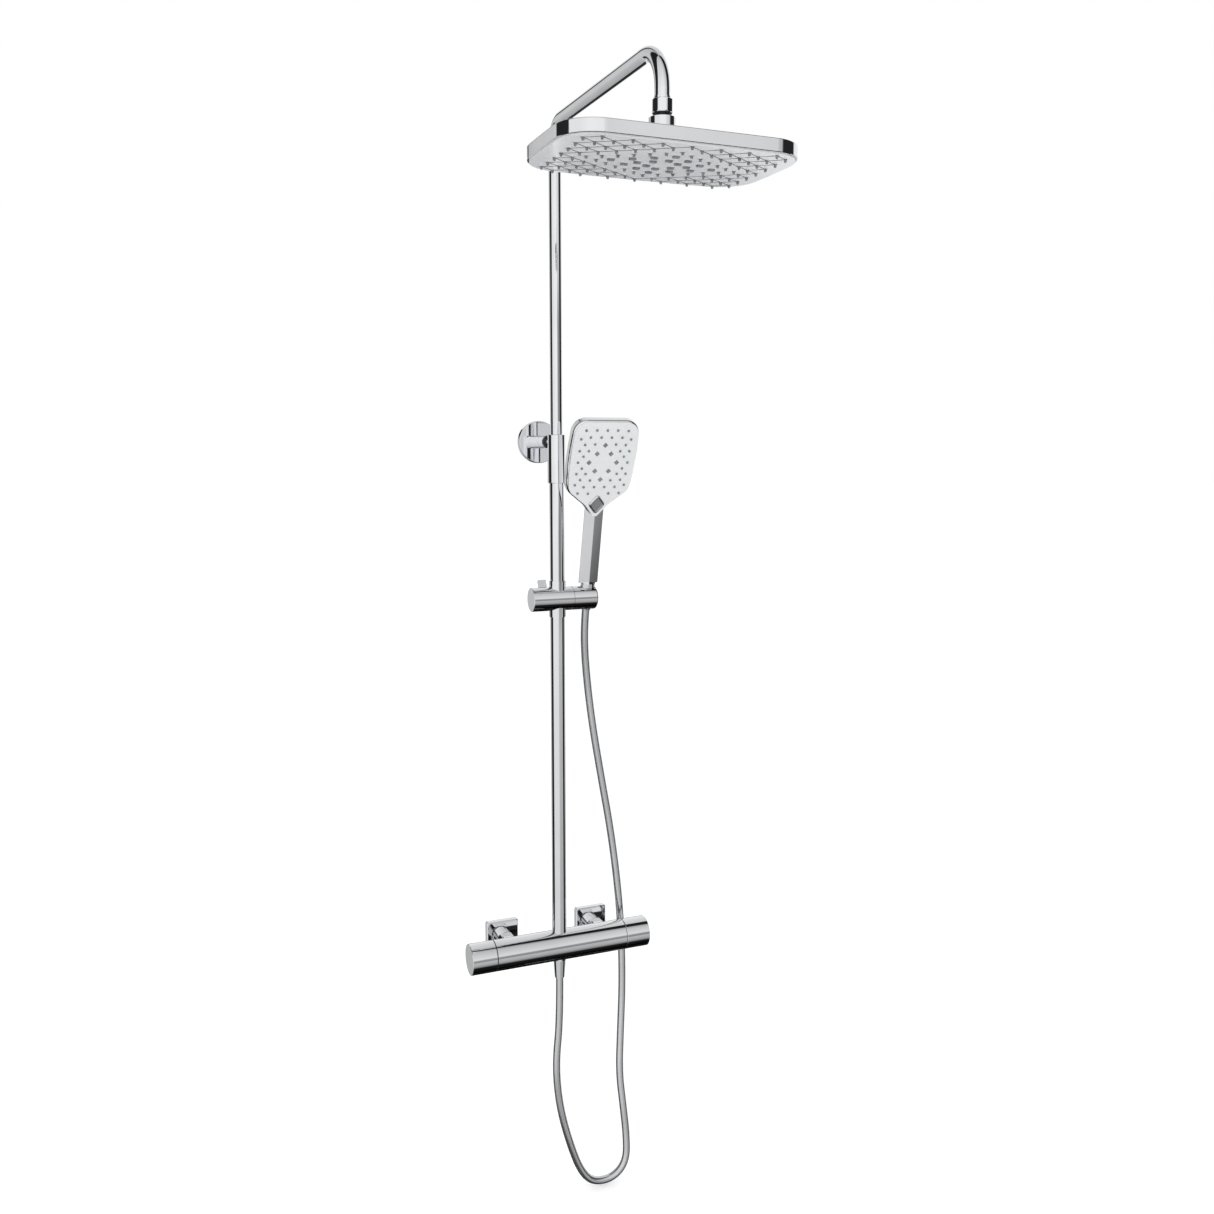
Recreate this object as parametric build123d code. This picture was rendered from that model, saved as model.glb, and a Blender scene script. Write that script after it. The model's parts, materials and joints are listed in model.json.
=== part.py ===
from build123d import *
import os
from math import atan, cos, degrees, pi, radians, sin, sqrt, tan

# Rainfall shower column: a thermostatic bar mixer with a telescopic riser, a swivel arm,
# an overhead head on a ball joint and a hand shower on a sliding holder.
# Frame: +X along the bar to the right, +Y into the wall, +Z up, millimetres.
# Origin: on the wall, midway between the two water inlets.

# ---- driving dimensions ----
inlet_spacing = 150.0        # between the hot and cold inlets
union_offset = 2.6           # the unions are eccentric: the bar hangs this far below the inlets
wall_distance = 65.5         # wall to the axis of the bar and of the riser
tail_radius = 10.48          # G 1/2 male thread into the wall
tail_length = 22.0
bar_radius = 23.5
bar_length = 211.0           # body between the two seams
handle_length = 38.2
seam_ring = 0.8              # dark ring between the body and a handle
rosette_side = 51.3          # square cover plates at the inlets
rosette_depth = 10.0
lower_tube_radius = 11.0
lower_tube_wall = 1.2
upper_tube_radius = 9.0
upper_tube_wall = 1.0
sleeve_height = 714.3        # foot of the clamp sleeve above the inlets
sleeve_length = 70.5
sleeve_wall = 2.2
bracket_height = 774.7       # axis of the wall bracket
bracket_x = -7.5             # the bracket holds the sleeve a little to the left of its middle
bracket_rosette_radius = 31.5
bracket_rosette_depth = 9.0
bracket_arm_radius = 9.5
arm_height = 1219.4          # centre line of the arm, midway along it
arm_drop = 5.5               # the arm falls this far from the riser to its front bend
arm_reach = 362.0            # riser axis to the overhead head's axis
rear_bend = 30.0
front_bend = 50.0
head_width = 293.0           # along X
head_depth = 175.0           # along Y
head_corner = 45.5
head_bulge = 1.2             # how far each side bows outwards
rim_height = 15.0
rim_wall = 2.2
slider_height = 542.1
slider_radius = 17.9
slider_left = 41.6           # riser axis to the holder's left end
cradle_right = 60.0          # riser axis to the cradle's right end
cradle_reach = 47.0          # riser axis to the hand shower's axis
handset_lean = 13.0          # degrees the handle leans out from the wall
face_tilt = 9.5              # degrees the spray face leans further than the handle
face_width = 103.6           # spray face, outside its chrome edge
hose_diameter = 12.0

# ---- named clearances ----
running = 0.05               # radial, shaft in a bearing
seat = 0.02                  # between pieces of one body
apart = 0.3                  # between curved faces that move past each other

# ---- derived places ----
bar_z = -union_offset
axis_y = -wall_distance
left_x = -inlet_spacing / 2
right_x = inlet_spacing / 2
bar_half = bar_length / 2
handle_start = bar_half + seam_ring + apart
handle_end = handle_start + handle_length
sleeve_radius = lower_tube_radius + running + sleeve_wall
ball_z = arm_height - 94.5
rim_top = ball_z - 21.5
rim_bottom = rim_top - rim_height
head_y = axis_y - arm_reach

UP, DOWN = (0, 0, 1), (0, 0, -1)
LEFT, RIGHT = (-1, 0, 0), (1, 0, 0)
WALL, ROOM = (0, 1, 0), (0, -1, 0)

parts = {}


def rod(start, direction, radius, length):
    """A cylinder from a point along a direction."""
    solid = Cylinder(radius, length, align=(Align.CENTER, Align.CENTER, Align.MIN))
    return Plane(origin=start, z_dir=direction) * solid


def tube(start, direction, outer, inner, length):
    """A pipe from a point along a direction."""
    return rod(start, direction, outer, length) - rod(start, direction, inner, length)


def taper(start, direction, first_radius, last_radius, length):
    """A truncated cone from a point along a direction."""
    solid = Cone(first_radius, last_radius, length, align=(Align.CENTER, Align.CENTER, Align.MIN))
    return Plane(origin=start, z_dir=direction) * solid


def block(low, high):
    """A box between two corners."""
    size = [b - a for a, b in zip(low, high)]
    middle = [(a + b) / 2 for a, b in zip(low, high)]
    return Pos(*middle) * Box(*size)


def flats(start, direction, corner_radius, sides, length):
    """A prism with flats, such as a nut, chamfered where it meets a round of its corners."""
    prism = extrude(RegularPolygon(corner_radius, sides), amount=length)
    round_off = Cylinder(corner_radius * 0.975, length, align=(Align.CENTER, Align.CENTER, Align.MIN))
    round_off = chamfer(round_off.edges(), length * 0.06)
    return Plane(origin=start, z_dir=direction, x_dir=side_of(direction)) * (prism & round_off)


def side_of(direction):
    """A direction square to an axis direction."""
    return (1, 0, 0) if direction[0] == 0 else (0, 1, 0)


# ---- water inlets: eccentric unions, nuts, washers and square cover plates ----
boss_radius = 13.1           # G 3/4 male thread on the bar
boss_end = axis_y + 34.5     # where the boss stops, short of the wall
washer_thickness = 2.0
collar_thickness = 3.0
nut_radius = 17.0
nut_start = axis_y + bar_radius + apart
nut_end = boss_end + washer_thickness + collar_thickness + 2.5
barrel_radius = 13.2
barrel_length = 20.0
neck_outer = 10.1
water_way = 8.0
plate_wall = 2.0


def square_plate(x):
    """Cover plate with softened front edges, hollow behind."""
    low = (x - rosette_side / 2, -rosette_depth, -rosette_side / 2)
    high = (x + rosette_side / 2, 0, rosette_side / 2)
    plate = block(low, high)
    plate = fillet(plate.edges().filter_by(Axis.Y), 3.0)
    plate = chamfer(plate.faces().sort_by(Axis.Y)[0].edges(), 1.5)
    inner_low = (low[0] + plate_wall, -rosette_depth + plate_wall, low[2] + plate_wall)
    inner_high = (high[0] - plate_wall, 1, high[2] - plate_wall)
    hole = rod((x, 1, barrel_z), ROOM, barrel_radius + seat, rosette_depth + 2)
    return plate - block(inner_low, inner_high) - hole


barrel_z = -union_offset / 2
tail_start = -6.0            # the water way ends here in the tail's strainer: six holes round a core
strainer_hole = 2.2
strainer_spots = [(6.0 * cos(radians(60 * k)), 6.0 * sin(radians(60 * k))) for k in range(6)]
union_nuts = []
for side, x in (("left", left_x), ("right", right_x)):
    tail = rod((x, tail_length, 0), ROOM, tail_radius, tail_length - 0.4)
    tail += rod((x, 1, 0), ROOM, tail_radius - 0.6, 5)
    barrel = rod((x, -2, barrel_z), ROOM, barrel_radius, barrel_length)
    bar_side = boss_end + washer_thickness
    neck = rod((x, -2, bar_z), ROOM, neck_outer, -2 - bar_side)
    collar = rod((x, bar_side, bar_z), WALL, boss_radius - 0.3, collar_thickness)
    passage = rod((x, bar_side - 1, bar_z), WALL, water_way - 1, tail_start - bar_side + 1)
    passage += [rod((x + dx, tail_start - 1, dz), WALL, strainer_hole, tail_length + 10) for dx, dz in strainer_spots]
    parts[f"union_{side}"] = (tail + barrel + neck + collar) - passage
    parts[f"cover_plate_{side}"] = square_plate(x)
    nut = flats((x, nut_start, bar_z), WALL, nut_radius, 6, nut_end - nut_start)
    nut -= rod((x, nut_start - 1, bar_z), WALL, boss_radius + seat, bar_side + collar_thickness - nut_start + 1)
    nut -= rod((x, nut_start - 1, bar_z), WALL, neck_outer + seat, nut_end - nut_start + 2)
    union_nuts.append(nut.solid())
parts["union_nuts"] = Compound(union_nuts)
parts["filter_washers"] = Compound(
    [
        tube((x, boss_end, bar_z), WALL, boss_radius - 0.3, water_way, washer_thickness).solid()
        for x in (left_x, right_x)
    ]
)

# ---- bar body ----
cartridge_radius = 16.5
cartridge_length = 45.2
cartridge_foot = bar_half - cartridge_length
channel_radius = 9.0
riser_socket = 10.7          # how deep the lower tube enters the bar
nipple_radius = 7.6
nipple_length = 12.0
outlet_z = bar_z - bar_radius

body = rod((-bar_half, axis_y, bar_z), RIGHT, bar_radius, bar_length)
for x in (left_x, right_x):
    body += rod((x, axis_y, bar_z), WALL, boss_radius, boss_end - axis_y)
body += rod((0, axis_y, outlet_z + 4), DOWN, nipple_radius, nipple_length + 4)
for x, way in ((-bar_half, RIGHT), (bar_half, LEFT)):
    body -= rod((x, axis_y, bar_z), way, cartridge_radius + seat, cartridge_length)
body -= rod((-cartridge_foot - 1, axis_y, bar_z), RIGHT, channel_radius, 2 * cartridge_foot + 2)
for x in (left_x, right_x):
    body -= rod((x, axis_y + cartridge_radius - 3, bar_z), WALL, water_way, boss_end - axis_y)
body -= rod((0, axis_y, bar_z + bar_radius - riser_socket), UP, lower_tube_radius + seat, riser_socket + 1)
body -= rod((0, axis_y, bar_z), UP, channel_radius, bar_radius)
body -= rod((0, axis_y, bar_z), DOWN, nipple_radius - 2, bar_radius + nipple_length + 1)
parts["bar_body"] = body
parts["check_valves"] = Compound(
    [
        tube((x, boss_end - 13, bar_z), WALL, water_way - seat, 4.0, 12.0).solid()
        for x in (left_x, right_x)
    ]
)

# ---- cartridges, spindles, handles: the left sets the heat, the right the flow ----
spindle_radius = 4.0
spindle_end = bar_half + 26.0
nose_radius = 9.0
nose_length = 7.6
web_start = handle_end - 10.8
web_thickness = 4.0
handle_wall = 2.2
cap_thickness = 2.5
cap_radius = bar_radius - 1.3
hub_radius = 8.0
screw_radius = 1.9
thermostat_chamber = 12.0
diverter_chamber = 12.3
disc_radius = 12.0
disc_thickness = 4.0
flange_radius = 7.0
flange_thickness = 2.0


def along(way, distance):
    """A point on the bar's axis, measured outwards from the middle."""
    return (way[0] * distance, axis_y, bar_z)


def cartridge(way, chamber_radius, chamber_start, chamber_end):
    shell = rod(along(way, cartridge_foot + 0.2), way, cartridge_radius, cartridge_length - 0.3)
    shell += rod(along(way, bar_half - 1), way, nose_radius, nose_length + 1)
    shell -= rod(along(way, chamber_start), way, chamber_radius, chamber_end - chamber_start)
    shell -= rod(along(way, chamber_start), way, spindle_radius + running, bar_length)
    slot_low = (min(way[0] * (chamber_start + 2), way[0] * (chamber_end - 2)), axis_y, bar_z - 3)
    slot_high = (max(way[0] * (chamber_start + 2), way[0] * (chamber_end - 2)), axis_y + 30, bar_z + 3)
    return shell - block(slot_low, slot_high)


def spindle(way, inner_end):
    shaft = rod(along(way, inner_end), way, spindle_radius, spindle_end - inner_end)
    shaft += rod(along(way, inner_end), way, flange_radius, flange_thickness)
    return shaft - rod(along(way, spindle_end - 10), way, screw_radius, 11)


def handle(way):
    cup = rod(along(way, handle_start), way, bar_radius, handle_length)
    cup = chamfer(cup.edges().filter_by(GeomType.CIRCLE), 0.4)
    cup -= rod(along(way, handle_start - 1), way, bar_radius - handle_wall, web_start - handle_start + 1)
    cup += rod(along(way, bar_half + nose_length + 3), way, hub_radius, web_start - bar_half - nose_length - 3)
    cup -= rod(along(way, handle_start), way, spindle_radius + seat, web_start - handle_start)
    cup -= rod(along(way, web_start - 1), way, screw_radius + 0.2, web_thickness + 2)
    cup -= rod(along(way, web_start + web_thickness), way, cap_radius + seat, handle_length)
    return cup


def handle_screw(way):
    head_start = web_start + web_thickness
    shank = rod(along(way, spindle_end - 9), way, screw_radius - seat, head_start - spindle_end + 9)
    head = rod(along(way, head_start), way, 3.6, 2.8)
    socket = Plane(origin=along(way, head_start + 1.2), z_dir=way) * extrude(RegularPolygon(1.6, 6), amount=2)
    return shank + head - socket


def end_cap(way):
    disc = rod(along(way, handle_end - cap_thickness), way, cap_radius, cap_thickness)
    return chamfer(disc.edges().filter_by(GeomType.CIRCLE), 0.3)


for name, way in (("temperature", LEFT), ("flow", RIGHT)):
    parts[f"{name}_handle"] = handle(way)
    parts[f"{name}_handle_screw"] = handle_screw(way)
    parts[f"{name}_end_cap"] = end_cap(way)

parts["seam_rings"] = Compound(
    [tube(along(way, bar_half), way, bar_radius - 0.5, 17.5, seam_ring).solid() for way in (LEFT, RIGHT)]
)

chamber_floor = cartridge_foot + 2.0
thermostat_roof = cartridge_foot + 28.0
parts["thermostat_cartridge"] = cartridge(LEFT, thermostat_chamber, chamber_floor, thermostat_roof)
parts["thermostat_spindle"] = spindle(LEFT, thermostat_roof - flange_thickness - 0.2)
shuttle_foot = chamber_floor + 11.0
shuttle_length = 10.0
parts["thermostat_shuttle"] = tube(
    along(LEFT, shuttle_foot), LEFT, thermostat_chamber - apart, 5.0, shuttle_length
)
parts["thermostat_spring"] = tube(along(LEFT, chamber_floor + 0.2), LEFT, 8.0, 6.5, 6.0)

diverter_roof = chamber_floor + 2 * disc_thickness + flange_thickness + 0.5
parts["diverter_cartridge"] = cartridge(RIGHT, diverter_chamber, chamber_floor, diverter_roof)
lower_disc = rod(along(RIGHT, chamber_floor), RIGHT, disc_radius, disc_thickness)
parts["diverter_fixed_disc"] = lower_disc - block(
    (chamber_floor - 1, axis_y - 3, bar_z + 2), (chamber_floor + 9, axis_y + 3, bar_z + 9)
)
turning_start = chamber_floor + disc_thickness + 0.1
upper_disc = rod(along(RIGHT, turning_start), RIGHT, disc_radius, disc_thickness)
parts["diverter_turning_disc"] = upper_disc - block(
    (turning_start - 1, axis_y + 2, bar_z - 3), (turning_start + 9, axis_y + 9, bar_z + 3)
)
parts["flow_spindle"] = spindle(RIGHT, turning_start + disc_thickness)

# ---- riser: lower tube, clamp sleeve, swivel bush, upper tube with its arm ----
sleeve_top = sleeve_height + sleeve_length
tube_foot = bar_z + bar_radius - riser_socket
tube_top = sleeve_height + 26.0
upper_foot = sleeve_height - 250.0
bush_foot = tube_top + 0.5
bush_radius = lower_tube_radius
sleeve_bore = lower_tube_radius + running

parts["lower_tube"] = tube(
    (0, axis_y, tube_foot), UP, lower_tube_radius, lower_tube_radius - lower_tube_wall, tube_top - tube_foot
)
sleeve = tube((0, axis_y, sleeve_height), UP, sleeve_radius, sleeve_bore, sleeve_length)
sleeve = chamfer(sleeve.edges().filter_by(GeomType.CIRCLE), 0.4)
parts["clamp_sleeve"] = sleeve
parts["swivel_bush"] = tube(
    (0, axis_y, bush_foot), UP, bush_radius, upper_tube_radius + running, sleeve_top - bush_foot - 0.5
)

stub_end = ball_z + 33.5
arm_path = FilletPolyline(
    (0, axis_y, upper_foot),
    (0, axis_y, arm_height + arm_drop / 2),
    (0, head_y, arm_height - arm_drop / 2),
    (0, head_y, stub_end),
    radius=(rear_bend, front_bend),
)
upper_tube_outside = sweep(Plane(origin=(0, axis_y, upper_foot), z_dir=UP) * Circle(upper_tube_radius), arm_path)
upper_tube_inside = sweep(
    Plane(origin=(0, axis_y, upper_foot), z_dir=UP) * Circle(upper_tube_radius - upper_tube_wall), arm_path
)
parts["upper_tube"] = upper_tube_outside - upper_tube_inside

# ---- wall bracket ----
bracket_gap = 28.0           # between the two wall screws
base_radius = 24.0
base_thickness = 5.0
wall_screw_length = 32.0
bracket_screw_radius = 2.2
ring_thickness = 2.5
arm_split = -29.0
ring_end = -51.0
spigot_radius = 6.5
bracket_neck_radius = 5.6


def at_bracket(y, up=0.0):
    """A point on the bracket's axis, at a distance in front of the wall."""
    return (bracket_x, y, bracket_height + up)


base = rod(at_bracket(0), ROOM, base_radius, base_thickness)
base += rod(at_bracket(0), ROOM, spigot_radius, 26.0)
screw_rises = [sign * bracket_gap / 2 for sign in (-1, 1)]
for rise in screw_rises:
    base -= rod(at_bracket(1, rise), ROOM, bracket_screw_radius + 0.3, base_thickness + 2)
    base -= taper(at_bracket(-base_thickness + 2.2, rise), ROOM, bracket_screw_radius + 0.3, 5.0, 2.3)
parts["bracket_base"] = base
parts["wall_screws"] = Compound(
    [
        (
            rod(at_bracket(wall_screw_length, rise), ROOM, bracket_screw_radius, wall_screw_length - 0.4)
            + rod(at_bracket(1, rise), ROOM, bracket_screw_radius - 0.4, base_thickness - 1.0)
            + taper(at_bracket(-base_thickness + 2.2, rise), ROOM, bracket_screw_radius - 0.4, 4.4, 2.1)
        ).solid()
        for rise in screw_rises
    ]
)
rosette = rod(at_bracket(0), ROOM, bracket_rosette_radius, bracket_rosette_depth)
rosette = fillet(rosette.faces().sort_by(Axis.Y)[0].edges(), 1.2)
rosette -= rod(at_bracket(1), ROOM, bracket_rosette_radius - 2, bracket_rosette_depth - 1)
parts["bracket_rosette"] = rosette - rod(at_bracket(1), ROOM, bracket_arm_radius + seat, bracket_rosette_depth + 2)
parts["bracket_socket"] = tube(
    at_bracket(-base_thickness - 0.3),
    ROOM,
    bracket_arm_radius,
    spigot_radius + seat,
    -arm_split - base_thickness - 0.3,
)
sleeve_outside = rod((0, axis_y, sleeve_height), UP, sleeve_radius + seat, sleeve_length)
post = rod(at_bracket(arm_split - 0.4), ROOM, bracket_arm_radius, arm_split - 0.4 - ring_end - ring_thickness)
post += rod(at_bracket(arm_split - 5), ROOM, bracket_neck_radius, arm_split - 5 - axis_y)
post -= sleeve_outside
post -= rod(at_bracket(arm_split + 1), ROOM, spigot_radius, 3.0)
parts["bracket_post"] = post
ring = tube(at_bracket(ring_end), WALL, bracket_arm_radius - 0.9, bracket_neck_radius + seat, ring_thickness)
parts["bracket_ring"] = ring - sleeve_outside

# ---- ball joint at the end of the arm; all its faces are round about one centre ----
ball_radius = 9.5
neck_radius = 5.5
shell_radius = 12.0          # outside of the seat and of the seal
cavity_radius = shell_radius + apart
collar_radius = 15.5
collar_top = 12.0            # above the ball's centre
collar_foot = -12.0
fitting_foot = 15.5
fitting_top = 30.5
fitting_radius = 12.6
gaiter_radius = 10.6
ball_centre = (0, head_y, ball_z)


def at_ball(height):
    """A point on the head's axis, measured from the ball's centre."""
    return (0, head_y, ball_z + height)


def ball_zone(outer, inner, low, high):
    """Part of a round shell between two heights."""
    shell = Pos(*ball_centre) * (Sphere(outer) - Sphere(inner))
    side = outer + 1
    return shell & block((-side, head_y - side, ball_z + low), (side, head_y + side, ball_z + high))


fitting = Pos(*ball_centre) * Sphere(ball_radius)
fitting += rod(at_ball(0), UP, neck_radius, fitting_foot + 1)
fitting += flats(at_ball(fitting_foot), UP, fitting_radius, 8, fitting_top - fitting_foot)
fitting += rod(at_ball(fitting_top), UP, upper_tube_radius + 0.7, stub_end - ball_z - fitting_top)
fitting += rod(at_ball(fitting_top), UP, upper_tube_radius - upper_tube_wall - seat, 14.0)
parts["ball_fitting"] = fitting - rod(at_ball(-12), UP, 3.5, 80)
gaiter_height = 1.2
parts["gaiter_ring"] = tube(
    at_ball(fitting_foot - gaiter_height), UP, gaiter_radius, neck_radius + seat, gaiter_height
)
seal_top = sqrt(ball_radius**2 - neck_radius**2) - 0.35
parts["ball_seal"] = ball_zone(shell_radius, ball_radius + running, 1.5, seal_top)
parts["ball_seat"] = ball_zone(shell_radius, ball_radius + running, -7.5, -1.5)

collar = rod(at_ball(collar_foot), UP, collar_radius, collar_top - collar_foot)
collar = chamfer(collar.faces().sort_by(Axis.Z)[-1].edges(), 1.8, 2.8)
collar -= Pos(*ball_centre) * Sphere(cavity_radius)
collar -= rod(at_ball(collar_foot - 1), UP, cavity_radius, -collar_foot + 1)
collar -= taper(at_ball(9.0), UP, 7.9, 8.6, 3.2)
parts["head_collar"] = collar

# ---- overhead head ----
flange_inset = 16.0
shell_thickness = 2.5
boss_foot_radius = 38.0
hub_bore = 7.0
plate_top = rim_bottom + 4.5
plate_edge = rim_bottom - 1.2
dome_depth = 2.2
plate_inset = rim_wall + 0.2
mat_thickness = 1.5
nozzle_pitch_x = 17.5        # columns of the staggered nozzle net
nozzle_pitch_y = 11.15       # rows of the staggered nozzle net
ring_reach_x = 93.0          # inner ring of single nozzles: a lozenge
ring_reach_y = 54.0
nozzle_radius = 2.3
nozzle_tip = 1.6
nozzle_drop = 2.6
jet_width = 7.6
jet_depth = 4.4


def head_outline(inset):
    """The head's outline seen from above: four bowed sides and round corners."""
    x = head_width / 2 - inset
    y = head_depth / 2 - inset
    bow = head_bulge
    ring = Wire(
        [
            ThreePointArc((x - bow, -y + bow), (x, 0), (x - bow, y - bow)),
            ThreePointArc((x - bow, y - bow), (0, y), (-x + bow, y - bow)),
            ThreePointArc((-x + bow, y - bow), (-x, 0), (-x + bow, -y + bow)),
            ThreePointArc((-x + bow, -y + bow), (0, -y), (x - bow, -y + bow)),
        ]
    )
    face = Face(ring)
    return fillet(face.vertices(), max(head_corner - inset, 2.0))


def head_slab(inset, low, high):
    """The outline, drawn in by an inset, as a slab between two heights."""
    return Pos(0, head_y, low) * extrude(head_outline(inset), amount=high - low, dir=UP)


def net_nozzles():
    """Outer nozzles on the staggered net, outside the lozenge of single nozzles."""
    spots = []
    for row in range(-7, 8):
        shift = 0.0 if row % 2 else nozzle_pitch_x
        for step in range(-4, 5):
            x = 2 * step * nozzle_pitch_x + shift
            y = row * nozzle_pitch_y
            inside = abs(x) / ring_reach_x + abs(y) / ring_reach_y < 1.12
            if abs(x) < 125 and not inside:
                spots.append((x, y))
    return spots


def lozenge(reach_x, reach_y, steps):
    """Points along the four sides of a lozenge."""
    spots = []
    for k in range(steps):
        x = reach_x * (1 - k / steps)
        y = reach_y * k / steps
        spots += [(x, y), (-x, -y), (-reach_x * k / steps, reach_y * (1 - k / steps))]
        spots.append((reach_x * k / steps, -reach_y * (1 - k / steps)))
    return spots


def plate_face_z(x, y):
    """Height of the domed underside at a place on the plate."""
    drop = dome_depth * (1 - (2 * x / head_width) ** 2 / 2 - (2 * y / head_depth) ** 2 / 2)
    return plate_edge - max(drop, 0.0)


single_nozzles = net_nozzles() + lozenge(ring_reach_x, ring_reach_y, 6)
triple_jets = lozenge(63.0, 37.5, 3) + lozenge(31.0, 19.0, 2)
post_spots = [(sx * x, sy * y) for x, y in ((136, 22), (87.5, 78), (17.5, 78)) for sx in (-1, 1) for sy in (-1, 1)]


def dome_cutter():
    """Everything above the plate's domed underside, curved gently along both sides."""
    half = head_depth / 2
    edge = plate_edge - dome_depth / 2
    centre = plate_edge - dome_depth
    section = Face(
        Wire(
            [
                ThreePointArc((0, head_y - half, edge), (0, head_y, centre), (0, head_y + half, edge)),
                Line((0, head_y + half, edge), (0, head_y + half, rim_top)),
                Line((0, head_y + half, rim_top), (0, head_y - half, rim_top)),
                Line((0, head_y - half, rim_top), (0, head_y - half, edge)),
            ]
        )
    )
    side_radius = (head_width / 2) ** 2 / dome_depth
    hinge = Axis((0, head_y, centre + side_radius), (0, 1, 0))
    sweep_angle = 2.4 * degrees(atan(head_width / 2 / side_radius))
    return revolve(section, axis=hinge, revolution_arc=sweep_angle).rotate(hinge, -sweep_angle / 2)


rim = head_slab(0, rim_bottom, rim_top)
rim = fillet(rim.faces().sort_by(Axis.Z)[-1].edges(), 1.4)
rim = chamfer(rim.faces().sort_by(Axis.Z)[0].edges(), 0.5)
rim -= head_slab(rim_wall, rim_bottom - 1, rim_top - 7.0)
rim -= head_slab(flange_inset, rim_bottom, rim_top)
rim -= head_slab(rim_wall, rim_top - 5.4, rim_top + 1)
for x, y in post_spots:
    rim -= rod((x, head_y + y, rim_top - 8), UP, 1.8, 4)
parts["head_rim"] = rim

shell = head_slab(rim_wall + seat, rim_top - shell_thickness, rim_top)
shell += taper((0, head_y, rim_top - 0.1), UP, boss_foot_radius, collar_radius, ball_z + collar_foot - rim_top + 0.1)
shell += rod(at_ball(collar_foot - 0.1), UP, cavity_radius - seat, 2.3)
shell -= rod((0, head_y, rim_top - 9), UP, hub_bore, 30)
shell -= taper((0, head_y, rim_top - shell_thickness - 0.1), UP, 30.0, 12.0, 7.5)
parts["head_top_shell"] = shell

plate = head_slab(plate_inset, plate_edge - dome_depth - 1, plate_top) & dome_cutter()
nozzle_holes = [rod((x, head_y + y, rim_bottom - 6), UP, nozzle_radius + 0.3, 14) for x, y in single_nozzles]
nozzle_holes += [
    block(
        (x - jet_width / 2 - 0.3, head_y + y - jet_depth / 2 - 0.3, rim_bottom - 6),
        (x + jet_width / 2 + 0.3, head_y + y + jet_depth / 2 + 0.3, rim_top),
    )
    for x, y in triple_jets
]
plate -= nozzle_holes
plate += [rod((x, head_y + y, plate_top - 1), UP, 4.0, rim_top - 7.0 - plate_top + 1) for x, y in post_spots]
plate -= [rod((x, head_y + y, plate_top - 0.5), UP, 1.2, 6) for x, y in post_spots]
parts["head_face_plate"] = plate

mat = head_slab(plate_inset + 3.0, plate_top + seat, plate_top + mat_thickness)
mat -= [rod((x, head_y + y, plate_top - 1), UP, 4.3, 6) for x, y in post_spots]
nozzles = []
for x, y in single_nozzles:
    tip = plate_face_z(x, y) - nozzle_drop
    nozzles.append(taper((x, head_y + y, tip), UP, nozzle_tip, nozzle_radius, plate_top + 0.5 - tip))
for x, y in triple_jets:
    tip = plate_face_z(x, y) - nozzle_drop + 0.6
    low = (x - jet_width / 2, head_y + y - jet_depth / 2, tip)
    nozzles.append(block(low, (x + jet_width / 2, head_y + y + jet_depth / 2, plate_top + 0.5)))
parts["head_nozzle_mat"] = mat + nozzles
parts["head_screws"] = Compound(
    [
        (
            rod((x, head_y + y, plate_top), UP, 1.2 - seat, rim_top - 5.0 - plate_top)
            + rod((x, head_y + y, rim_top - 5.4 + seat), UP, 2.6, 1.6)
        ).solid()
        for x, y in post_spots
    ]
)

# ---- sliding holder ----
bush_wall = 1.5
bush_half = 27.0
bush_outer = lower_tube_radius + running + bush_wall
body_left = slider_left - 2.2
body_right = 20.0
friction_washer = 1.6
axle_radius = 5.0
axle_start = bush_outer + running + 0.9
axle_end = 33.0
button_width = 12.0
button_x = -(bush_outer + running + 1.3 + button_width / 2)
button_depth = 5.0
button_lean = 30.0           # the lock button stands up and back from the holder
button_tip = 31.0            # from the holder's axis to the button's tip
button_travel = 3.0
pocket_floor = 2.0
spring_height = 4.8
button_foot = pocket_floor + spring_height + button_travel + 0.2


def on_slider(x, height=0.0):
    """A point on the holder's axis, raised by a height."""
    return (x, axis_y, slider_height + height)


parts["slider_bush"] = tube(
    on_slider(0, -bush_half), UP, bush_outer, lower_tube_radius + running, 2 * bush_half
)
holder = rod(on_slider(-body_left), RIGHT, slider_radius, body_left + body_right)
holder -= rod(on_slider(0, -30), UP, bush_outer + running, 60)
holder -= rod(on_slider(axle_start), RIGHT, axle_radius + seat, 20)
button_up = (0, sin(radians(button_lean)), cos(radians(button_lean)))
button_place = Plane(origin=on_slider(button_x), x_dir=(1, 0, 0), z_dir=button_up).location
pocket_width = button_width + 2 * 0.3
pocket_depth = button_depth + 2 * 0.3
holder -= button_place * block(
    (-pocket_width / 2, -pocket_depth / 2, pocket_floor), (pocket_width / 2, pocket_depth / 2, button_tip)
)
parts["slider_body"] = holder
cap = rod(on_slider(-slider_left), RIGHT, slider_radius, slider_left - body_left)
parts["slider_end_cap"] = chamfer(cap.faces().sort_by(Axis.X)[0].edges(), 0.5)
button = block(
    (-button_width / 2, -button_depth / 2, button_foot), (button_width / 2, button_depth / 2, button_tip)
)
parts["lock_button"] = button_place * fillet(button.faces().sort_by(Axis.Z)[-1].edges(), 1.0)
parts["lock_spring"] = button_place * tube((0, 0, pocket_floor), UP, 2.2, 1.4, spring_height)
parts["cradle_axle"] = rod(on_slider(axle_start), RIGHT, axle_radius, axle_end - axle_start)
parts["cradle_washer"] = tube(on_slider(body_right), RIGHT, slider_radius - 0.4, axle_radius + seat, friction_washer)

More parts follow.
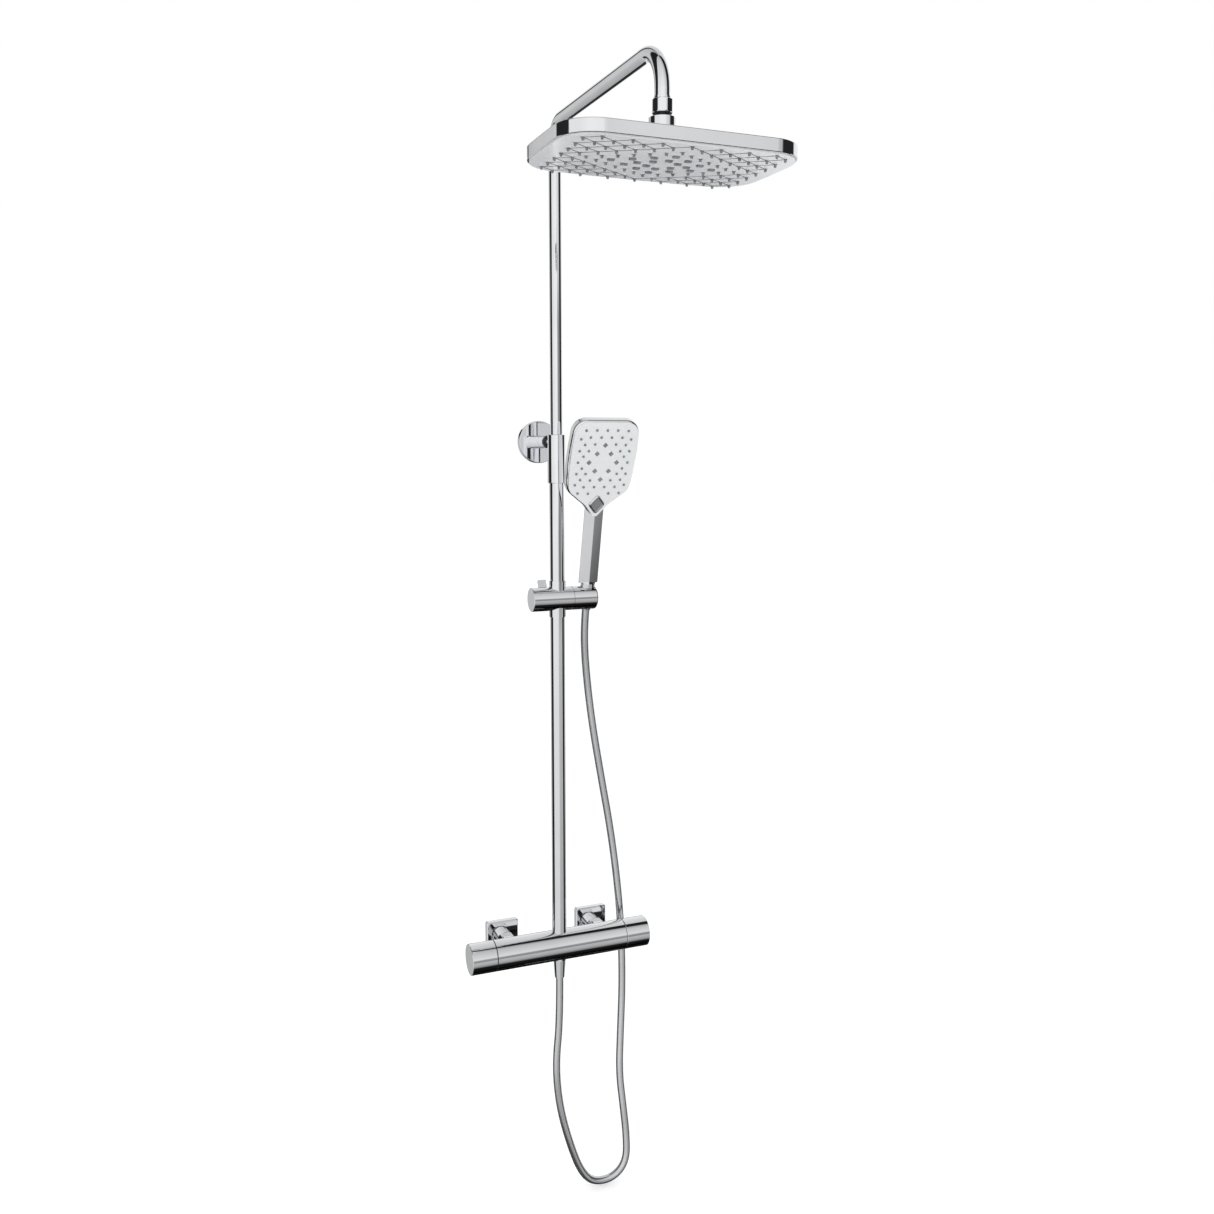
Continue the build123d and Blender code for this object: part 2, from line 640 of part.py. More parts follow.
# ---- hand shower frame: origin where its axis crosses the holder's axis, z up the handle ----
lean = radians(handset_lean)
handle_up = (0, -sin(lean), cos(lean))
grip_frame = Plane(origin=(cradle_reach, axis_y, slider_height), x_dir=(1, 0, 0), z_dir=handle_up)
grip = grip_frame.location
cone_foot = -19.0
cone_foot_radius = 7.4
cone_shoulder = 18.0
cone_top = 23.4
cone_radius = 10.8
handle_foot = 23.8
tail_foot = 10.0
tail_thread = 9.2

cone = taper((0, 0, cone_foot), UP, cone_foot_radius, cone_radius, cone_shoulder - cone_foot)
cone += rod((0, 0, cone_shoulder), UP, cone_radius, cone_top - cone_shoulder)
cone -= rod((0, 0, tail_foot - 1), UP, tail_thread + running, 20)
cone -= rod((0, 0, cone_foot + 8), UP, 5.0, 30)
parts["hose_nut_top"] = grip * cone

cradle = rod(on_slider(body_right + friction_washer + apart), RIGHT, slider_radius, cradle_right - body_right - friction_washer - apart)
cradle = fillet(cradle.faces().sort_by(Axis.X)[-1].edges(), 3.0)
cradle -= rod(on_slider(body_right), RIGHT, axle_radius + running, axle_end - body_right + 0.5)
cradle -= grip * taper(
    (0, 0, cone_foot - 5), UP, cone_foot_radius + 0.4 - 0.46, cone_radius + 0.4 + 1.1, 54.0
)
parts["cradle"] = cradle

# ---- hand shower ----
handle_top = 152.0
head_back = 17.0             # depth of the head behind its spray face
face_centre_z = 212.0
face_centre_y = -8.0 - tan(radians(face_tilt)) * (face_centre_z - 150.0)
tilt = radians(face_tilt)
face_frame = grip * Plane(
    origin=(0, face_centre_y, face_centre_z), x_dir=(1, 0, 0), z_dir=(0, -cos(tilt), -sin(tilt))
).location
# In the face's own frame x runs right, y runs up the face and z comes out of it.
face_top = 63.3
face_side = face_width / 2
corner_side = face_side - 3.0    # the sides bow out between the corners
shoulder_y = -45.3
neck_y = -68.3
neck_half = 19.3
tongue_tip = -92.3
face_edge = 2.3              # width of the chrome edge round the white face
selector_y = -66.0
selector_half_width = 13.0
selector_half_height = 16.0
selector_rise = 1.6
selector_travel = 2.5


def face_outline(inset):
    """Round-cornered square that runs down through a waist to a tongue."""
    bow = ThreePointArc((corner_side, face_top), (face_side, -5), (corner_side, shoulder_y))
    right_edge = [
        Line((0, face_top), (corner_side, face_top)),
        bow,
        Line((corner_side, shoulder_y), (neck_half, neck_y)),
        Line((neck_half, neck_y), (0, tongue_tip)),
    ]
    left_edge = [edge.mirror(Plane.YZ) for edge in right_edge]
    outline = Face(Wire(right_edge + left_edge))
    for height, radius in ((face_top, 21.0), (shoulder_y, 22.0), (neck_y, 20.0), (tongue_tip, 8.0)):
        corners = [v for v in outline.vertices() if abs(v.Y - height) < 0.01 and (abs(v.X) > 1 or height < neck_y)]
        outline = fillet(corners, radius)
    return offset(outline, amount=-inset) if inset else outline


def face_slab(inset, low, high):
    """The face's outline as a slab, measured along the face's normal."""
    return face_frame * (Pos(0, 0, low) * extrude(face_outline(inset), amount=high - low, dir=UP))


def handle_section(scale):
    """Kite-like section: a shallow ridge in front and a narrower back."""
    return Polygon(
        (0, -5.0 * scale),
        (15.8 * scale, -0.6),
        (10.4 * scale, 11.0 * scale),
        (-10.4 * scale, 11.0 * scale),
        (-15.8 * scale, -0.6),
        align=None,
    )


grip_stick = loft([Pos(0, 0, handle_foot) * handle_section(1.0), Pos(0, 0, handle_top) * handle_section(0.97)])
grip_stick = grip * fillet(grip_stick.edges().filter_by(lambda edge: edge.length > 60), 1.2)
back = face_slab(0, -head_back, -1.2)
back = fillet(back.faces().sort_by(Axis(face_frame.position, (0, -1, 0)))[0].edges(), 4.0)
handset = grip_stick + back
handset += grip * rod((0, 0, tail_foot), UP, tail_thread, handle_foot - tail_foot)
face_pocket_depth = 4.0
handset -= face_slab(face_edge, -face_pocket_depth, 5.0)
handset -= face_frame * block((-30, -40, -head_back + 3), (30, 50, 0))
handset -= grip * rod((0, 0, tail_foot - 1), UP, 6.0, handle_foot - tail_foot - 1)
handset -= grip * rod((0, 2.5, tail_foot + 2), UP, 3.8, handle_top)
spray_columns = {
    0: (49.0,),
    8: (38.2, -38.2),
    16: (49.0, 27.8, -27.8, -48.5),
    24.2: (38.2, 17.6, -17.6, -38.2),
    31.2: (27.0, 9.1, -9.1, -27.0),
    32.3: (48.5, -48.0),
    38.3: (35.5, 17.6, 0.0, -17.6, -35.0),
}
spray_spots = [(side * x, y) for x, column in spray_columns.items() for y in column for side in (1, -1) if x or side == 1]
lozenge_jets = lozenge(21.3, 26.5, 2)
spray_pin = 1.6
spray_rise = 1.2

face_plate = face_slab(face_edge + seat, -3.0, 0.0)
face_plate -= [face_frame * rod((x, y, -6), UP, spray_pin + 0.2, 12) for x, y in spray_spots]
face_plate -= [
    face_frame * (Pos(x, y, -6) * Rot(0, 0, 45) * Box(5.7, 5.7, 24))
    for x, y in lozenge_jets
]


def selector_prism(grow, low, high):
    """Round-cornered lozenge prism on the face."""
    a = selector_half_width + grow
    b = selector_half_height + grow
    lozenge_face = Polygon((a, 0), (0, b), (-a, 0), (0, -b), align=None)
    lozenge_face = fillet(lozenge_face.vertices(), 4.0)
    return face_frame * (Pos(0, selector_y, low) * extrude(lozenge_face, amount=high - low, dir=UP))


face_plate -= selector_prism(0.35, -6, 6)
parts["handset_face"] = face_plate
spray_mat = face_slab(6.0, -4.0 + seat, -3.0 - seat)
spray_mat -= selector_prism(1.5, -6, 6)
spray_mat &= face_frame * block((-60, -54, -6), (60, 70, 6))
spray_mat += [face_frame * rod((x, y, -3.5), UP, spray_pin, 3.5 + spray_rise) for x, y in spray_spots]
spray_mat += [
    face_frame * (Pos(x, y, -1.6) * Rot(0, 0, 45) * Box(5.2, 5.2, 3.8)) for x, y in lozenge_jets
]
parts["handset_nozzle_mat"] = spray_mat

selector_floor = -head_back + 6.5
selector_foot = -4.0
parts["handset_body"] = handset - selector_prism(0.35, selector_floor, 6)
parts["selector_button"] = selector_prism(0, selector_foot, selector_rise)
spring_top = selector_foot - selector_travel - 0.15
parts["selector_spring"] = face_frame * tube(
    (0, selector_y, selector_floor), UP, 3.0, 2.2, spring_top - selector_floor
)

# ---- hose and its lower nut ----
hose_end_z = outlet_z - 28.9
lower_nut = taper((0, axis_y, outlet_z - 0.3), DOWN, 9.7, 7.8, outlet_z - 0.3 - hose_end_z)
lower_nut -= rod((0, axis_y, outlet_z + 1), DOWN, nipple_radius + seat, nipple_length + 2)
lower_nut -= rod((0, axis_y, outlet_z), DOWN, 5.0, nipple_length + 8)
# Round the top of the nut to the underside of the bar.
lower_nut -= rod((-20, axis_y, bar_z), RIGHT, bar_radius + seat, 40)
parts["hose_nut_bottom"] = lower_nut

hose_start = Vector(*grip_frame.origin) + Vector(*handle_up) * cone_foot
hose_route = [
    tuple(hose_start),
    tuple(hose_start - Vector(*handle_up) * 38),
    (55, -41, 422),
    (67, -35, 340),
    (84, -32, 248),
    (101, -30, 159),
    (114, -30, 60),
    (120, -30, -21),
    (120, -34, -104),
    (113, -43, -182),
    (107, -52, -244),
    (111, -59, -299),
    (116, -62, -352),
    (115, -65, -396),
    (92, -66, -419),
    (58, -66, -419),
    (36, -65, -397),
    (17, -66, -346),
    (-1, -65, -276),
    (-8, -66, -202),
    (0, axis_y, -128),
    (0, axis_y, hose_end_z),
]
runs = [Vector(*b) - Vector(*a) for a, b in zip(hose_route, hose_route[1:])]
hose_radii = []
for before, after in zip(runs, runs[1:]):
    half_turn = radians(before.get_angle(after)) / 2
    hose_radii.append(0.45 * min(before.length, after.length) / tan(half_turn))
hose_path = FilletPolyline(*hose_route, radius=hose_radii)
hose_section = Plane(origin=hose_route[0], z_dir=runs[0]) * Circle(hose_diameter / 2)
parts["hose"] = sweep(hose_section, hose_path)

print("hose bend radii in mm:", [round(radius) for radius in hose_radii])
print("hose length in mm:", round(hose_path.length))
tube_volume = pi * (hose_diameter / 2) ** 2 * hose_path.length
print("hose volume over section times length:", round(parts["hose"].volume / tube_volume, 4))

os.makedirs("parts", exist_ok=True)
for name, shape in parts.items():
    export_step(shape, f"parts/{name}.step")
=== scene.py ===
import json
from math import atan2, cos, hypot, pi, radians, sin

import bpy
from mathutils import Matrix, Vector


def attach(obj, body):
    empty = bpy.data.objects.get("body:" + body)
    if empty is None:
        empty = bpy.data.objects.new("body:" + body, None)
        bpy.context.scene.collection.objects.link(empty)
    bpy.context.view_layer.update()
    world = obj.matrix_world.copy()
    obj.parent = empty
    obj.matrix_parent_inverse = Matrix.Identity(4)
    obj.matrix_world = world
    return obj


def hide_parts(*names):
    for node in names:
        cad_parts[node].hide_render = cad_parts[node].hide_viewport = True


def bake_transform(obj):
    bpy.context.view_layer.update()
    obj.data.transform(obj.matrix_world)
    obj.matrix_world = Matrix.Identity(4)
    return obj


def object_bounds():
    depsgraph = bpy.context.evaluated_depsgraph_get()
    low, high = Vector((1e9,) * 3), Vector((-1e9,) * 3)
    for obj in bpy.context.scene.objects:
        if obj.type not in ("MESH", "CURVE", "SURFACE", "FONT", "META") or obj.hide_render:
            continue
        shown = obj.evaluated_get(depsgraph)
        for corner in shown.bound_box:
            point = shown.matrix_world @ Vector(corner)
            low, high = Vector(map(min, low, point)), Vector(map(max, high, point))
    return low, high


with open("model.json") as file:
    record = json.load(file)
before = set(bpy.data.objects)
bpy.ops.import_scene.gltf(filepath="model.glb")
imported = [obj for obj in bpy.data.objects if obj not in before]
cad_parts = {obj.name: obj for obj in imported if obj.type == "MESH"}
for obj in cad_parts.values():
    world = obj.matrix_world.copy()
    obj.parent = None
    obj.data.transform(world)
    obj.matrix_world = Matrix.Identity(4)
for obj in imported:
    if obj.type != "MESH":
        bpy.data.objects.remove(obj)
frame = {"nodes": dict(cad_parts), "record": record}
cad_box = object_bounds()
nodes = frame["nodes"]


# ---------------------------------------------------------------- camera

def place_camera():
    """Low and to the left of the column, looking slightly down."""
    data = bpy.data.cameras.new("camera")
    data.lens = 33.77
    data.sensor_width = 36.0
    camera = bpy.data.objects.new("camera", data)
    camera.location = (-0.5719, -1.6604, 0.7574)
    camera.rotation_euler = (pi / 2 - 0.1339, 0.0, -0.38815)
    bpy.context.collection.objects.link(camera)
    bpy.context.scene.camera = camera


place_camera()


# ---------------------------------------------------------------- hose

HOSE_DIAMETER = 0.012
HOSE_ROUTE = [
    (0.047, -0.06123, 0.52359),
    (0.047, -0.05268, 0.48656),
    (0.055, -0.041, 0.422),
    (0.067, -0.035, 0.340),
    (0.084, -0.032, 0.248),
    (0.101, -0.030, 0.159),
    (0.114, -0.030, 0.060),
    (0.120, -0.030, -0.021),
    (0.120, -0.034, -0.104),
    (0.113, -0.043, -0.182),
    (0.107, -0.052, -0.244),
    (0.111, -0.059, -0.299),
    (0.116, -0.062, -0.352),
    (0.115, -0.065, -0.396),
    (0.092, -0.066, -0.419),
    (0.058, -0.066, -0.419),
    (0.036, -0.065, -0.397),
    (0.017, -0.066, -0.346),
    (-0.001, -0.065, -0.276),
    (-0.008, -0.066, -0.202),
    (0.0, -0.0655, -0.128),
    (0.0, -0.0655, -0.055),
]


def make_hose():
    """A round tube along the hose's line. Returns it with the points of its centre line."""
    curve = bpy.data.curves.new("hose_line", "CURVE")
    curve.dimensions = "3D"
    line = curve.splines.new("NURBS")
    line.points.add(len(HOSE_ROUTE) - 1)
    for point, place in zip(line.points, HOSE_ROUTE):
        point.co = (*place, 1.0)
    line.order_u = 3
    line.use_endpoint_u = True
    line.resolution_u = 12
    guide = bpy.data.objects.new("hose_guide", curve)
    bpy.context.collection.objects.link(guide)

    def drawn(name):
        bpy.context.view_layer.update()
        ready = guide.evaluated_get(bpy.context.evaluated_depsgraph_get())
        mesh = bpy.data.meshes.new_from_object(ready)
        mesh.name = name
        return mesh

    centre = drawn("hose_centre")
    path = [tuple(v.co) for v in centre.vertices]
    curve.bevel_depth = HOSE_DIAMETER / 2
    curve.bevel_resolution = 8
    curve.use_fill_caps = True
    mesh = drawn("shower_hose")
    bpy.data.objects.remove(guide)
    for polygon in mesh.polygons:
        polygon.use_smooth = True
    hose = bpy.data.objects.new("shower_hose", mesh)
    bpy.context.collection.objects.link(hose)
    return hose, path


hose, hose_path = make_hose()
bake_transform(hose)
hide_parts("hose")


# ---------------------------------------------------------------- finishes

NOISE_LOW, NOISE_HIGH = 0.3, 0.7   # the part of a noise pattern that a finish is spread over


class Finish:
    """One node material, built up on a Principled shader."""

    def __init__(self, name, colour, roughness, metallic=0.0, **sockets):
        self.material = bpy.data.materials.new(name)
        self.material.use_nodes = True
        self.tree = self.material.node_tree
        self.shader = self.tree.nodes["Principled BSDF"]
        self.shader.inputs["Base Color"].default_value = (*colour, 1.0)
        self.shader.inputs["Roughness"].default_value = roughness
        self.shader.inputs["Metallic"].default_value = metallic
        for socket, value in sockets.items():
            self.shader.inputs[socket.replace("_", " ")].default_value = value
        self.place = self.tree.nodes.new("ShaderNodeTexCoord").outputs["Object"]

    def noise(self, scale, detail=2.0, roughness=0.5, stretch=None):
        """Noise at so many features a metre."""
        node = self.tree.nodes.new("ShaderNodeTexNoise")
        node.inputs["Scale"].default_value = scale
        node.inputs["Detail"].default_value = detail
        node.inputs["Roughness"].default_value = roughness
        source = self.place
        if stretch:
            mapping = self.tree.nodes.new("ShaderNodeMapping")
            mapping.inputs["Scale"].default_value = stretch
            self.tree.links.new(source, mapping.inputs["Vector"])
            source = mapping.outputs["Vector"]
        self.tree.links.new(source, node.inputs["Vector"])
        return node.outputs["Fac"]

    def spread(self, source, low, high):
        """A number between low and high that follows a pattern."""
        node = self.tree.nodes.new("ShaderNodeMapRange")
        node.inputs["From Min"].default_value = NOISE_LOW
        node.inputs["From Max"].default_value = NOISE_HIGH
        node.inputs["To Min"].default_value = low
        node.inputs["To Max"].default_value = high
        self.tree.links.new(source, node.inputs["Value"])
        return node.outputs["Result"]

    def roughness(self, source, low, high):
        self.tree.links.new(self.spread(source, low, high), self.shader.inputs["Roughness"])
        return self

    def colours(self, source, first, second):
        ramp = self.tree.nodes.new("ShaderNodeValToRGB")
        ramp.color_ramp.elements[0].position = NOISE_LOW
        ramp.color_ramp.elements[0].color = (*first, 1.0)
        ramp.color_ramp.elements[1].position = NOISE_HIGH
        ramp.color_ramp.elements[1].color = (*second, 1.0)
        self.tree.links.new(source, ramp.inputs["Fac"])
        self.tree.links.new(ramp.outputs["Color"], self.shader.inputs["Base Color"])
        return self

    def bump(self, source, depth, strength=1.0):
        node = self.tree.nodes.new("ShaderNodeBump")
        node.inputs["Strength"].default_value = strength
        node.inputs["Distance"].default_value = depth
        self.tree.links.new(source, node.inputs["Height"])
        self.tree.links.new(node.outputs["Normal"], self.shader.inputs["Normal"])
        return self


def polished_chrome(name, wave_depth, low, high):
    """Bright plate with faint water marks and the slight waves of polishing."""
    finish = Finish(name, (0.80, 0.81, 0.83), 0.06, 1.0)
    finish.roughness(finish.noise(90.0, 4.0, 0.6), low, high)
    finish.colours(finish.noise(14.0, 2.0), (0.80, 0.812, 0.828), (0.86, 0.87, 0.885))
    return finish.bump(finish.noise(26.0, 1.0), wave_depth, 0.35).material


def build_finishes():
    made = {}
    made["chrome_bar"] = polished_chrome("chrome_on_brass", 0.00003, 0.03, 0.07)
    made["chrome_tube"] = polished_chrome("chrome_on_tube", 0.00002, 0.025, 0.06)
    made["chromed_plastic"] = polished_chrome("chrome_on_plastic", 0.00004, 0.04, 0.09)

    cap = Finish("turned_chrome", (0.82, 0.83, 0.84), 0.14, 1.0)
    cap.roughness(cap.noise(120.0, 3.0), 0.10, 0.2)
    cap.colours(cap.noise(30.0), (0.79, 0.80, 0.82), (0.87, 0.875, 0.885))
    made["chrome_cap"] = cap.bump(cap.noise(400.0, 2.0), 0.00001, 0.4).material

    white = Finish("glossy_white", (0.74, 0.755, 0.77), 0.22, Coat_Weight=0.5, Coat_Roughness=0.05)
    white.roughness(white.noise(160.0, 3.0), 0.18, 0.28)
    white.colours(white.noise(12.0), (0.72, 0.735, 0.75), (0.77, 0.785, 0.80))
    made["white_plastic"] = white.bump(white.noise(240.0, 2.0), 0.00002, 0.3).material

    silicone = Finish("grey_silicone", (0.20, 0.215, 0.235), 0.5)
    silicone.roughness(silicone.noise(400.0, 3.0), 0.42, 0.62)
    silicone.colours(silicone.noise(220.0, 2.0), (0.15, 0.16, 0.18), (0.27, 0.285, 0.305))
    made["nozzle_silicone"] = silicone.bump(silicone.noise(1800.0, 2.0), 0.00003, 0.4).material

    coat = {"Coat_Weight": 0.3, "Coat_Roughness": 0.05}
    sleeve = Finish("silver_hose_sleeve", (0.66, 0.67, 0.685), 0.14, 0.92, **coat)
    sleeve.roughness(sleeve.noise(60.0, 2.0), 0.12, 0.16)
    sleeve.colours(sleeve.noise(16.0, 1.0), (0.64, 0.65, 0.665), (0.70, 0.71, 0.725))
    made["hose_sleeve"] = sleeve.bump(sleeve.noise(70.0, 1.0), 0.00002, 0.3).material

    rubber = Finish("black_rubber", (0.012, 0.012, 0.014), 0.6)
    rubber.roughness(rubber.noise(500.0, 3.0), 0.5, 0.72)
    rubber.colours(rubber.noise(300.0), (0.010, 0.010, 0.012), (0.022, 0.022, 0.024))
    made["seal_rubber"] = rubber.bump(rubber.noise(1500.0, 2.0), 0.00003, 0.5).material

    acetal = Finish("dark_acetal", (0.018, 0.018, 0.02), 0.38)
    acetal.roughness(acetal.noise(300.0, 2.0), 0.3, 0.48)
    acetal.colours(acetal.noise(150.0), (0.014, 0.014, 0.016), (0.03, 0.03, 0.033))
    made["dark_plastic"] = acetal.bump(acetal.noise(1200.0), 0.00002, 0.4).material

    pale = Finish("pale_moulding", (0.68, 0.67, 0.64), 0.45)
    pale.roughness(pale.noise(300.0, 2.0), 0.38, 0.55)
    pale.colours(pale.noise(60.0), (0.64, 0.63, 0.60), (0.73, 0.72, 0.69))
    made["pale_plastic"] = pale.bump(pale.noise(900.0), 0.00003, 0.4).material

    brass = Finish("machined_brass", (0.72, 0.53, 0.24), 0.3, 1.0)
    brass.roughness(brass.noise(200.0, 4.0), 0.24, 0.42)
    brass.colours(brass.noise(70.0, 3.0), (0.62, 0.45, 0.2), (0.78, 0.6, 0.3))
    made["brass"] = brass.bump(brass.noise(900.0, 2.0, 0.5, (1.0, 0.05, 1.0)), 0.00004, 0.5).material

    steel = Finish("stainless_steel", (0.56, 0.56, 0.57), 0.32, 1.0)
    steel.roughness(steel.noise(260.0, 4.0), 0.26, 0.42)
    steel.colours(steel.noise(80.0), (0.5, 0.5, 0.51), (0.62, 0.62, 0.63))
    made["screw_steel"] = steel.bump(steel.noise(1100.0, 2.0), 0.00003, 0.5).material

    line = Finish("grey_print", (0.13, 0.135, 0.145), 0.4)
    line.roughness(line.noise(300.0, 2.0), 0.35, 0.5)
    line.colours(line.noise(90.0), (0.11, 0.115, 0.125), (0.16, 0.165, 0.175))
    made["grey_print"] = line.bump(line.noise(900.0), 0.00001, 0.3).material

    satin = Finish("satin_inlay", (0.36, 0.37, 0.385), 0.3, 0.6)
    satin.roughness(satin.noise(300.0, 2.0), 0.26, 0.38)
    satin.colours(satin.noise(60.0), (0.34, 0.35, 0.365), (0.40, 0.41, 0.425))
    made["satin_inlay"] = satin.bump(satin.noise(900.0), 0.00001, 0.3).material

    ceramic = Finish("polished_ceramic", (0.80, 0.78, 0.73), 0.12)
    ceramic.roughness(ceramic.noise(300.0), 0.08, 0.2)
    ceramic.colours(ceramic.noise(90.0), (0.77, 0.75, 0.70), (0.84, 0.82, 0.77))
    made["ceramic"] = ceramic.bump(ceramic.noise(700.0), 0.00001, 0.3).material
    return made


finishes = build_finishes()
for row in frame["record"]["subparts"]:
    node = nodes[row["node"]]
    node.data.materials.clear()
    node.data.materials.append(finishes[row["material_slot"]])
hose.data.materials.append(finishes["hose_sleeve"])


# ---------------------------------------------------------------- repeating pieces, by rule

HEAD_X, HEAD_Y = 0.0, -0.4275
PLATE_EDGE, DOME_DEPTH = 1.0872, 0.0022
HEAD_WIDTH, HEAD_DEPTH = 0.293, 0.175
PITCH_X, PITCH_Y = 0.0175, 0.01115
LOZENGE_X, LOZENGE_Y = 0.093, 0.054   # half the lozenge of single nozzles inside the net
FIRST_NOZZLE, FIRST_LINE = 1.12, 1.23   # where the net and its lines start, in half lozenges
NOZZLE_DROP = 0.0026
TIP_RADIUS, TIP_SINK = 0.00172, 0.0006
LINE_WIDTH, LINE_THICKNESS, LINE_DROP = 0.0009, 0.0004, 0.0001
LINE_GAP = 0.0054   # what the nozzles at both ends take from a line
LINES_EACH_WAY = 14
NET_SIZES = {"Pitch X": PITCH_X, "Pitch Y": PITCH_Y, "Dome Depth": DOME_DEPTH}


class Rule:
    """A Geometry Nodes tree with named sizes, made ready as a plain mesh."""

    def __init__(self, name, sizes):
        self.name = name
        self.sizes = sizes
        self.tree = bpy.data.node_groups.new(name, "GeometryNodeTree")
        self.tree.interface.new_socket("Geometry", in_out="OUTPUT", socket_type="NodeSocketGeometry")
        self.sockets = {}
        for label in sizes:
            item = self.tree.interface.new_socket(label, in_out="INPUT", socket_type="NodeSocketFloat")
            self.sockets[label] = item.identifier
        self.inputs = self.tree.nodes.new("NodeGroupInput")

    def size(self, label):
        return self.inputs.outputs[label]

    def put(self, socket, value):
        if isinstance(value, bpy.types.NodeSocket):
            self.tree.links.new(value, socket)
        elif value is not None:
            socket.default_value = value

    def node(self, kind, *values, **settings):
        made = self.tree.nodes.new(kind)
        for setting, value in settings.items():
            setattr(made, setting, value)
        for socket, value in zip(made.inputs, values):
            self.put(socket, value)
        return made

    def math(self, operation, first, second=None):
        return self.node("ShaderNodeMath", first, second, operation=operation).outputs[0]

    def grid(self, across, up, columns, rows):
        return self.node("GeometryNodeMeshGrid", across, up, columns, rows).outputs["Mesh"]

    def join(self, *pieces):
        made = self.tree.nodes.new("GeometryNodeJoinGeometry")
        for piece in pieces:
            self.tree.links.new(piece, made.inputs[0])
        return made.outputs[0]

    def place(self):
        split = self.node("ShaderNodeSeparateXYZ", self.node("GeometryNodeInputPosition").outputs[0])
        return split.outputs

    def keep(self, points, wanted):
        gone = self.math("LESS_THAN", wanted, 0.5)
        return self.node("GeometryNodeDeleteGeometry", points, gone, domain="POINT").outputs[0]

    def outside_lozenge(self, least):
        x, y, _ = self.place()
        across = self.math("DIVIDE", self.math("ABSOLUTE", x), LOZENGE_X)
        up = self.math("DIVIDE", self.math("ABSOLUTE", y), LOZENGE_Y)
        return self.math("GREATER_THAN", self.math("ADD", across, up), least)

    def on_dome(self, points, depth):
        """Drops each point to the head's domed underside."""
        x, y, _ = self.place()
        across = self.math("POWER", self.math("DIVIDE", x, HEAD_WIDTH / 2), 2.0)
        up = self.math("POWER", self.math("DIVIDE", y, HEAD_DEPTH / 2), 2.0)
        share = self.math("SUBTRACT", 1.0, self.math("MULTIPLY", self.math("ADD", across, up), 0.5))
        down = self.math("MULTIPLY", self.math("MULTIPLY", share, depth), -1.0)
        offset = self.node("ShaderNodeCombineXYZ", 0.0, 0.0, down).outputs[0]
        made = self.node("GeometryNodeSetPosition", points)
        self.tree.links.new(offset, made.inputs["Offset"])
        return made.outputs[0]

    def scatter(self, points, piece, turn=None):
        made = self.node("GeometryNodeInstanceOnPoints", points)
        self.tree.links.new(piece, made.inputs["Instance"])
        if turn is not None:
            self.tree.links.new(turn, made.inputs["Rotation"])
        return made.outputs[0]

    def finish(self, geometry, material, body, slot_name, place):
        """Realises the tree, bakes it to a mesh at a place and hands it to its body."""
        real = self.node("GeometryNodeRealizeInstances", geometry).outputs[0]
        real = self.node("GeometryNodeSetShadeSmooth", real).outputs[0]
        last = self.node("GeometryNodeSetMaterial", real)
        last.inputs["Material"].default_value = material
        out = self.tree.nodes.new("NodeGroupOutput")
        self.tree.links.new(last.outputs[0], out.inputs[0])
        piece = bpy.data.objects.new(self.name, bpy.data.meshes.new(self.name))
        bpy.context.collection.objects.link(piece)
        modifier = piece.modifiers.new("rule", "NODES")
        modifier.node_group = self.tree
        for label, value in self.sizes.items():
            modifier[self.sockets[label]] = value
        bpy.context.view_layer.update()
        ready = piece.evaluated_get(bpy.context.evaluated_depsgraph_get())
        baked = bpy.data.meshes.new_from_object(ready)
        piece.modifiers.clear()
        piece.data = baked
        baked.transform(place)
        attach(piece, body)
        return piece


def net_points(rule):
    """The staggered net of nozzles outside the lozenge, on the dome."""

    def rows_and_columns(columns, rows):
        across = rule.math("MULTIPLY", rule.size("Pitch X"), 2.0 * (columns - 1))
        up = rule.math("MULTIPLY", rule.size("Pitch Y"), 2.0 * (rows - 1))
        return rule.grid(across, up, columns, rows)

    net = rule.join(rows_and_columns(7, 8), rows_and_columns(8, 7))
    return rule.keep(net, rule.outside_lozenge(FIRST_NOZZLE))


def head_tips():
    """A round tip on every nozzle of the net."""
    rule = Rule("head_nozzle_tips", {**NET_SIZES, "Tip Radius": TIP_RADIUS})
    tip = rule.node("GeometryNodeMeshUVSphere", 20, 10, rule.size("Tip Radius")).outputs["Mesh"]
    points = rule.on_dome(net_points(rule), rule.size("Dome Depth"))
    place = Matrix.Translation((HEAD_X, HEAD_Y, PLATE_EDGE - NOZZLE_DROP + TIP_SINK))
    rule.finish(rule.scatter(points, tip), finishes["nozzle_silicone"], "overhead", "nozzle_silicone", place)


